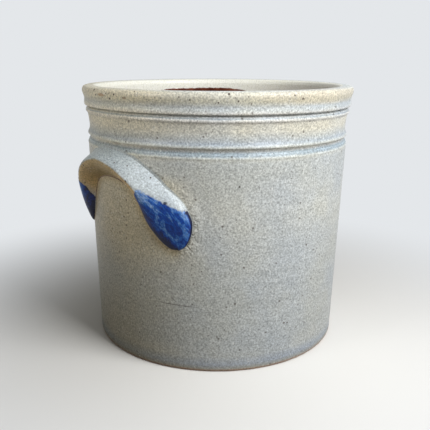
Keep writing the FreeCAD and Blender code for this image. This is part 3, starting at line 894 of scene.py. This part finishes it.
crock_body(body_finish())
lining(slip_finish())
bare_clay = lug_finish(False)
painted_clay = lug_finish(True)
wiped_slip = lute_finish()
for side, lug_angle in (("left", math.pi), ("right", 0.0)):
    strap(side, lug_angle, bare_clay)
    brushed_cobalt(side, lug_angle, painted_clay)
    luting(side, lug_angle, wiped_slip)


# The floor, the light and the camera

CAMERA_TURN = math.radians(-42.58)    # round the pot from the front, towards the left lug
BACKDROP = "#e4e7ea"


def turned(x, y, z):
    """A point given to the camera's right, away from it and up, in metres."""
    return Vector((x * math.cos(CAMERA_TURN) - y * math.sin(CAMERA_TURN),
                   x * math.sin(CAMERA_TURN) + y * math.cos(CAMERA_TURN), z))


def shown_rays(tree):
    """1 for what is seen straight, in a shine or through glass, and 0 for light that falls on things."""
    path = add(tree, "LightPath").outputs
    seen = add(tree, "Math", {"operation": "ADD"}, {0: path["Is Camera Ray"], 1: path["Is Glossy Ray"]})
    return add(tree, "Math", {"operation": "ADD", "use_clamp": True},
               {0: seen.outputs[0], 1: path["Is Transmission Ray"]}).outputs[0]


def floor():
    """A plain pale floor that keeps the pot's shadow and fades into the backdrop. What it throws back on the
    pot is the weak warm light of a brown surface."""
    bpy.ops.mesh.primitive_circle_add(vertices=96, radius=8.0, fill_type="NGON")
    plane = bpy.context.object
    plane.name = "studio_floor"
    material, tree = new_material("pale_floor")
    place = add(tree, "TexCoord").outputs["Object"]
    away = add(tree, "VectorMath", {"operation": "LENGTH"}, {0: place})
    far = add(tree, "MapRange", SMOOTH,
              {"Value": away.outputs["Value"], "From Min": 0.08, "From Max": 0.34})
    seen = shown_rays(tree)
    fade = add(tree, "Math", MULTIPLY, {0: far.outputs[0], 1: seen})
    tone = add(tree, "Mix", BLEND, {"Factor": seen, "A": srgb("#655945"), "B": srgb("#e5e4e1")})
    matt = add(tree, "BsdfDiffuse", {}, {"Color": tone.outputs["Result"]})
    white = add(tree, "Emission", {}, {"Color": srgb(BACKDROP)})
    blend = add(tree, "MixShader", {}, {0: fade.outputs[0], 1: matt.outputs[0], 2: white.outputs[0]})
    add(tree, "OutputMaterial", {}, {"Surface": blend.outputs[0]})
    plane.data.materials.append(material)


def lamp(name, place, target, size, power, beam=180):
    """A square soft box. A beam under 180 degrees is a grid in front of it, which narrows its light."""
    light = bpy.data.lights.new(name, "AREA")
    light.size = size
    light.energy = power
    light.spread = math.radians(beam)
    lamp_object = bpy.data.objects.new(name, light)
    bpy.context.scene.collection.objects.link(lamp_object)
    lamp_object.location = place
    lamp_object.visible_camera = False
    lamp_object.rotation_euler = (target - place).to_track_quat("-Z", "Y").to_euler()


def backdrop():
    """Pale to the eye and in reflections. On the pot it throws a weak light, cooler from above, and dimmer
    and warmer from the camera's left."""
    world = bpy.data.worlds.new("backdrop")
    bpy.context.scene.world = world
    world.use_nodes = True
    tree = world.node_tree
    tree.nodes.clear()
    seen = shown_rays(tree)
    white = add(tree, "Background", {}, {"Color": srgb(BACKDROP)})
    way = add(tree, "TexCoord").outputs["Generated"]
    across = add(tree, "VectorMath", DOT, {0: way, 1: turned(1, 0, 0)})
    toward = add(tree, "MapRange", {}, {"Value": across.outputs["Value"], "From Min": -1.0})
    level = add(tree, "Mix", BLEND,
                {"Factor": toward.outputs[0], "A": srgb("#2e2618"), "B": srgb("#a08e70")})
    above = add(tree, "Mix", BLEND,
                {"Factor": toward.outputs[0], "A": srgb("#b4aea0"), "B": srgb("#f3faff")})
    high = add(tree, "SeparateXYZ", {}, {"Vector": way}).outputs["Z"]
    sky = add(tree, "Mix", BLEND,
              {"Factor": high, "A": level.outputs["Result"], "B": above.outputs["Result"]})
    ambient = add(tree, "Background", {}, {"Color": sky.outputs["Result"], "Strength": 0.42})
    blend = add(tree, "MixShader", {}, {0: seen, 1: ambient.outputs[0], 2: white.outputs[0]})
    add(tree, "OutputWorld", {}, {"Surface": blend.outputs[0]})


def camera():
    """Seen from a little above, at the height and distance that the crock's outline gives."""
    pitch, roll, yaw = (math.radians(a) for a in (15.038, 0.498, -0.150))
    away, up = 0.43654, 0.19929
    forward = Vector((math.sin(yaw) * math.cos(pitch), math.cos(yaw) * math.cos(pitch), -math.sin(pitch)))
    right = Vector((math.cos(yaw), -math.sin(yaw), 0))
    above = right.cross(forward)
    right, above = (right * math.cos(roll) + above * math.sin(roll),
                    above * math.cos(roll) - right * math.sin(roll))
    data = bpy.data.cameras.new("camera")
    data.lens = 50.085
    data.sensor_width = 36
    eye = bpy.data.objects.new("camera", data)
    bpy.context.scene.collection.objects.link(eye)
    columns = [turned(*v) for v in (right, above, -forward)] + [turned(0, -away, up)]
    eye.matrix_world = Matrix([[c[i] for c in columns] for i in range(3)] + [[0, 0, 0, 1]])
    bpy.context.scene.camera = eye


floor()
backdrop()
middle = Vector((0, 0, 0.1))
lamp("key", turned(0.337, -0.312, 0.43), middle, size=0.34, power=3.9)
lamp("fill", turned(-0.27, -0.235, 0.265), turned(-0.06, -0.078, 0.17), size=0.14, power=0.04, beam=44)
camera()

bpy.context.scene.view_settings.view_transform = "Standard"
